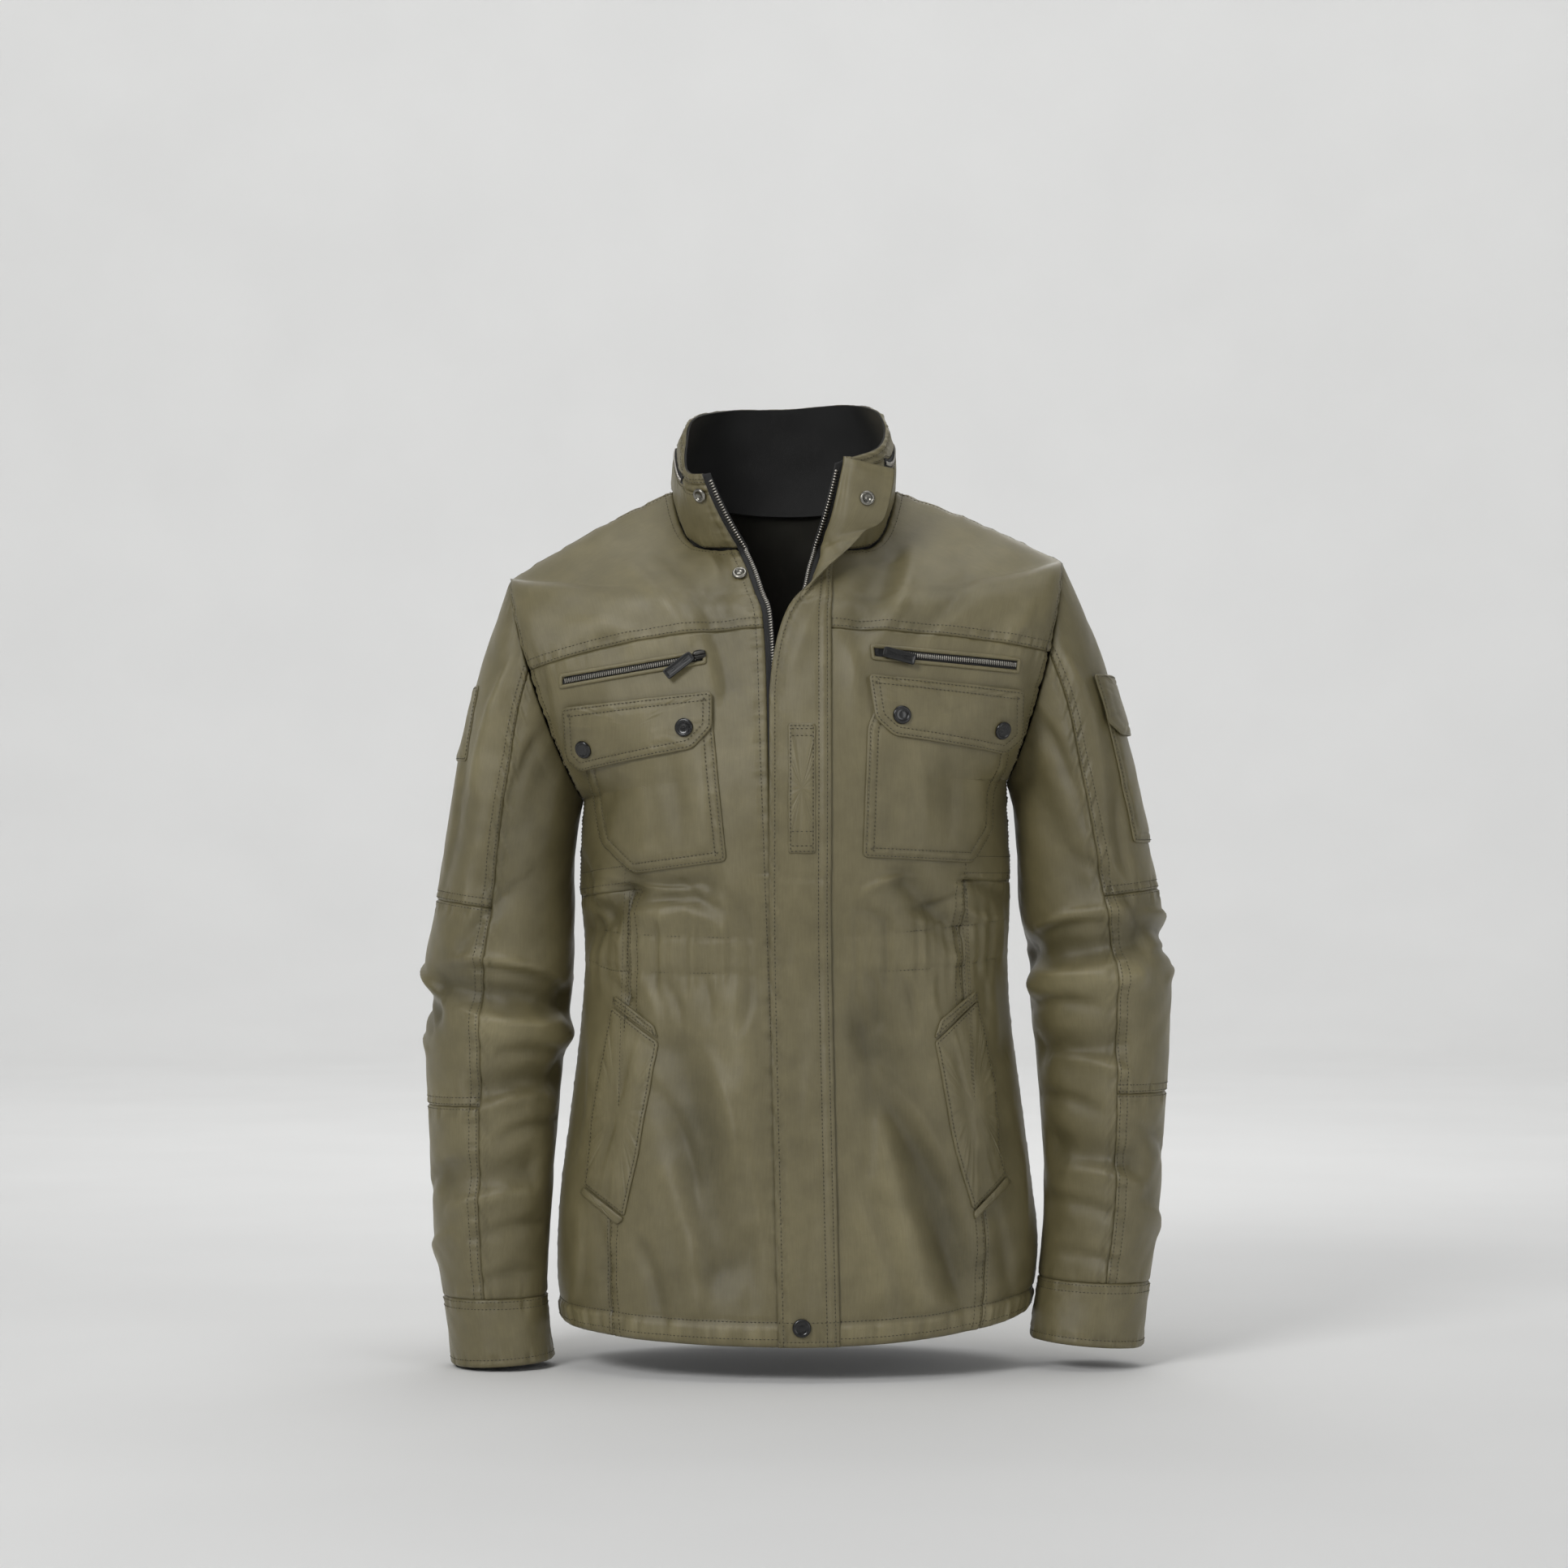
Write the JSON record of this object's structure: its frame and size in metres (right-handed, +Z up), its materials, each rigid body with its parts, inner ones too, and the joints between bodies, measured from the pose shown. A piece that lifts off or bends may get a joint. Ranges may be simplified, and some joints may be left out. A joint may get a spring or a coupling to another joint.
{
  "type": "field jacket",
  "caption": "Olive field jacket in its worn, hollow form: open standing collar, storm flap, zipped chest and flap pockets.",
  "frame": {"origin": "in the middle between the shoulders, level with the points where the shoulder seams meet the neck", "axes": "+Z up as worn, +X towards the wearer's left, the front faces -Y"},
  "size_m": [0.6249, 0.2761, 0.8061],
  "materials": {
    "cloth": "satin",
    "facing": "matte",
    "zip_tape": "matte",
    "zip_metal": "satin",
    "snap_cap": "satin",
    "snap_ring": "satin",
    "pull_tab": "matte"
  },
  "bodies": {
    "jacket": {"sleeve_under_right": "cloth", "sleeve_upper_right": "cloth", "sleeve_elbow_right": "cloth", "sleeve_lower_right": "cloth", "cuff_right": "cloth", "sleeve_under_left": "cloth", "sleeve_upper_left": "cloth", "sleeve_elbow_left": "cloth", "sleeve_lower_left": "cloth", "cuff_left": "cloth", "collar": "cloth", "hood_zip": "zip_tape", "collar_facing": "facing", "yoke_right": "cloth", "front_right": "cloth", "side_right": "cloth", "yoke_left": "cloth", "front_left": "cloth", "side_left": "cloth", "back_yoke": "cloth", "back": "cloth", "zip_tape_right": "zip_tape", "zip_tape_left": "zip_tape", "storm_flap": "cloth", "storm_flap_tab": "cloth", "chest_pocket_right": "cloth", "chest_flap_right": "cloth", "flap_snap_right_1": "snap_cap", "flap_snap_right_2": "snap_cap", "chest_zip_frame_right": "cloth", "chest_zip_right": "zip_tape", "chest_slider_right": "zip_metal", "welt_right": "cloth", "welt_top_right": "cloth", "welt_bottom_right": "cloth", "chest_pocket_left": "cloth", "chest_flap_left": "cloth", "flap_snap_left_1": "snap_cap", "flap_snap_left_2": "snap_cap", "chest_zip_frame_left": "cloth", "chest_zip_left": "zip_tape", "chest_slider_left": "zip_metal", "welt_left": "cloth", "welt_top_left": "cloth", "welt_bottom_left": "cloth", "sleeve_pocket": "cloth", "sleeve_pocket_flap": "cloth", "sleeve_badge": "cloth", "hem_snap": "snap_cap", "placket_snap": "snap_ring", "collar_snap": "snap_ring", "storm_flap_snap": "snap_ring"},
    "pull_tab_right": {"pull_tab_right": "pull_tab"},
    "pull_tab_left": {"pull_tab_left": "pull_tab"}
  },
  "joints": [
    {"name": "pull_tab_right_lift", "type": "hinge", "parent": "jacket", "child": "pull_tab_right", "pos_m": [-0.07519, -0.12559, -0.14715], "axis": [-0.6002, 0.1997, 0.7745], "range_deg": [0, 90]},
    {"name": "pull_tab_left_lift", "type": "hinge", "parent": "jacket", "child": "pull_tab_left", "pos_m": [0.07857, -0.12667, -0.14406], "axis": [-0.247, -0.2056, -0.947], "range_deg": [0, 90]}
  ]
}
